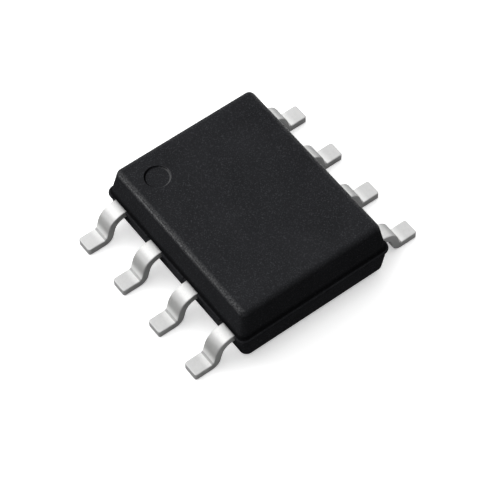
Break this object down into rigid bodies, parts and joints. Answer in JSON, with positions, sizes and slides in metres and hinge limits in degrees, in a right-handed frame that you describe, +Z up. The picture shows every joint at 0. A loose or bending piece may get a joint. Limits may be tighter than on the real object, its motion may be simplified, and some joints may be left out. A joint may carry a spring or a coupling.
{
  "type": "soic chip",
  "caption": "Small-outline surface-mount integrated circuit: a black moulded epoxy body with a round pin-1 recess in its top and gull-wing leads along both long sides.",
  "frame": {"origin": "middle of the body in plan, on the plane that the feet stand on", "axes": "+X across the body towards leads 5 to 8, +Y along the body towards the end with the pin-1 mark, +Z up from the board"},
  "size_m": [0.0058, 0.0048, 0.0016],
  "materials": {
    "epoxy": "matt black moulding compound with a fine grain",
    "tinned_lead": "matt tin plating over copper, slightly blotchy",
    "copper": "bare rolled copper",
    "die_attach": "silver-filled epoxy",
    "silicon": "polished silicon",
    "gold": "drawn gold wire"
  },
  "bodies": {
    "root": {"moulded_body": "epoxy", "lead_1": "tinned_lead", "lead_2": "tinned_lead", "lead_3": "tinned_lead", "lead_4": "tinned_lead", "lead_5": "tinned_lead", "lead_6": "tinned_lead", "lead_7": "tinned_lead", "lead_8": "tinned_lead", "die_paddle": "copper", "die_attach": "die_attach", "silicon_die": "silicon", "bond_wire_1": "gold", "bond_wire_2": "gold", "bond_wire_3": "gold", "bond_wire_4": "gold", "bond_wire_5": "gold", "bond_wire_6": "gold", "bond_wire_7": "gold", "bond_wire_8": "gold"}
  },
  "joints": []
}
